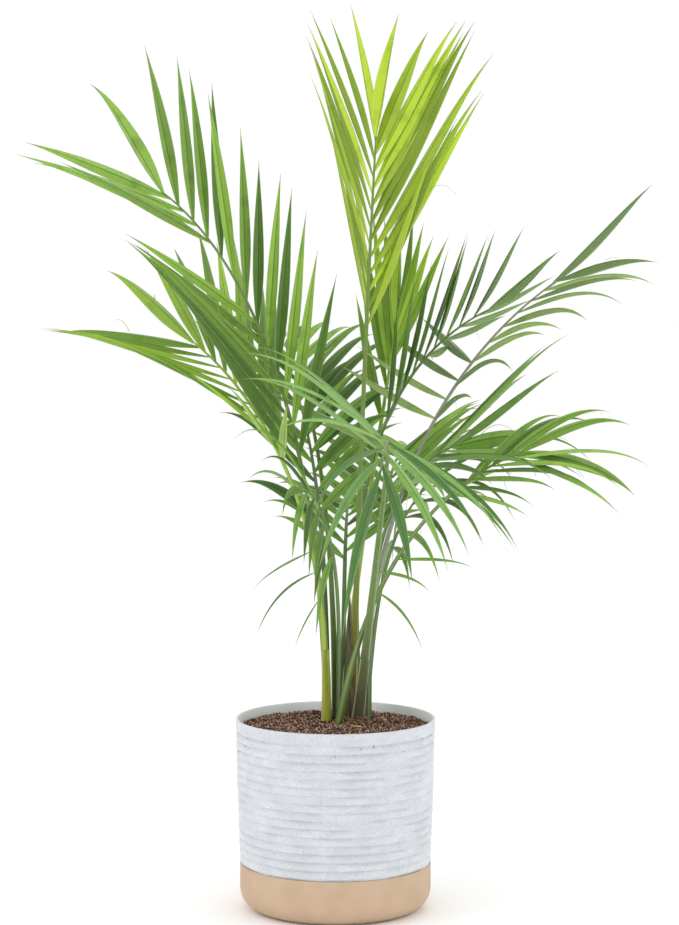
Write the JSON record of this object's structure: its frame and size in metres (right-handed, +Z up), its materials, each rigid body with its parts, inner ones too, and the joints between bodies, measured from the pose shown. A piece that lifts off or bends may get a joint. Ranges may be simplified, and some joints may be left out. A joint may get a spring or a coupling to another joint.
{
  "type": "potted majesty palm",
  "caption": "Young majesty palm with arching feather-shaped fronds, growing from a cluster of stalks in a round ribbed planter with a plain base.",
  "frame": {"origin": "centre of the planter's flat underside", "axes": "+Z up along the planter's axis; the palm is pictured from -Y, with +X to the right"},
  "size_m": [0.8912, 1.0587, 1.1843],
  "materials": {
    "white_planter": "speckled satin, ribbed",
    "tan_planter": "matte, smooth",
    "soil": "crumbly potting mix",
    "sheath": "fibrous, satin",
    "dry_fibre": "dry fibre",
    "stalk": "smooth, waxy",
    "leaf": "waxy leaf",
    "young_leaf": "waxy leaf, back-lit",
    "pale_leaf": "waxy leaf, pale underside",
    "dark_leaf": "waxy leaf"
  },
  "bodies": {
    "root": {"planter_body": "white_planter", "planter_base": "tan_planter", "soil": "soil", "stem_left": "sheath", "stem_middle": "dry_fibre", "stem_right": "sheath", "stalk_spear": "stalk", "stalk_upper_left": "stalk", "stalk_low_left": "stalk", "stalk_upper_right": "stalk", "stalk_low_right": "stalk", "stalk_front": "stalk", "stalk_mid_right": "stalk", "stalk_inner_right": "stalk", "stalk_inner_upright": "stalk", "stalk_droop_left": "stalk", "stalk_droop_right": "stalk", "stalk_back_left": "stalk", "stalk_back_right": "stalk", "stalk_back_side": "stalk", "stalk_back_low": "stalk", "frond_spear": "young_leaf", "frond_upper_left": "leaf", "frond_low_left": "young_leaf", "frond_upper_right": "pale_leaf", "frond_low_right": "leaf", "frond_front": "leaf", "frond_mid_right": "leaf", "frond_inner_right": "leaf", "frond_inner_upright": "young_leaf", "frond_droop_left": "dark_leaf", "frond_droop_right": "dark_leaf", "frond_back_left": "leaf", "frond_back_right": "leaf", "frond_back_side": "leaf", "frond_back_low": "leaf"}
  },
  "joints": []
}
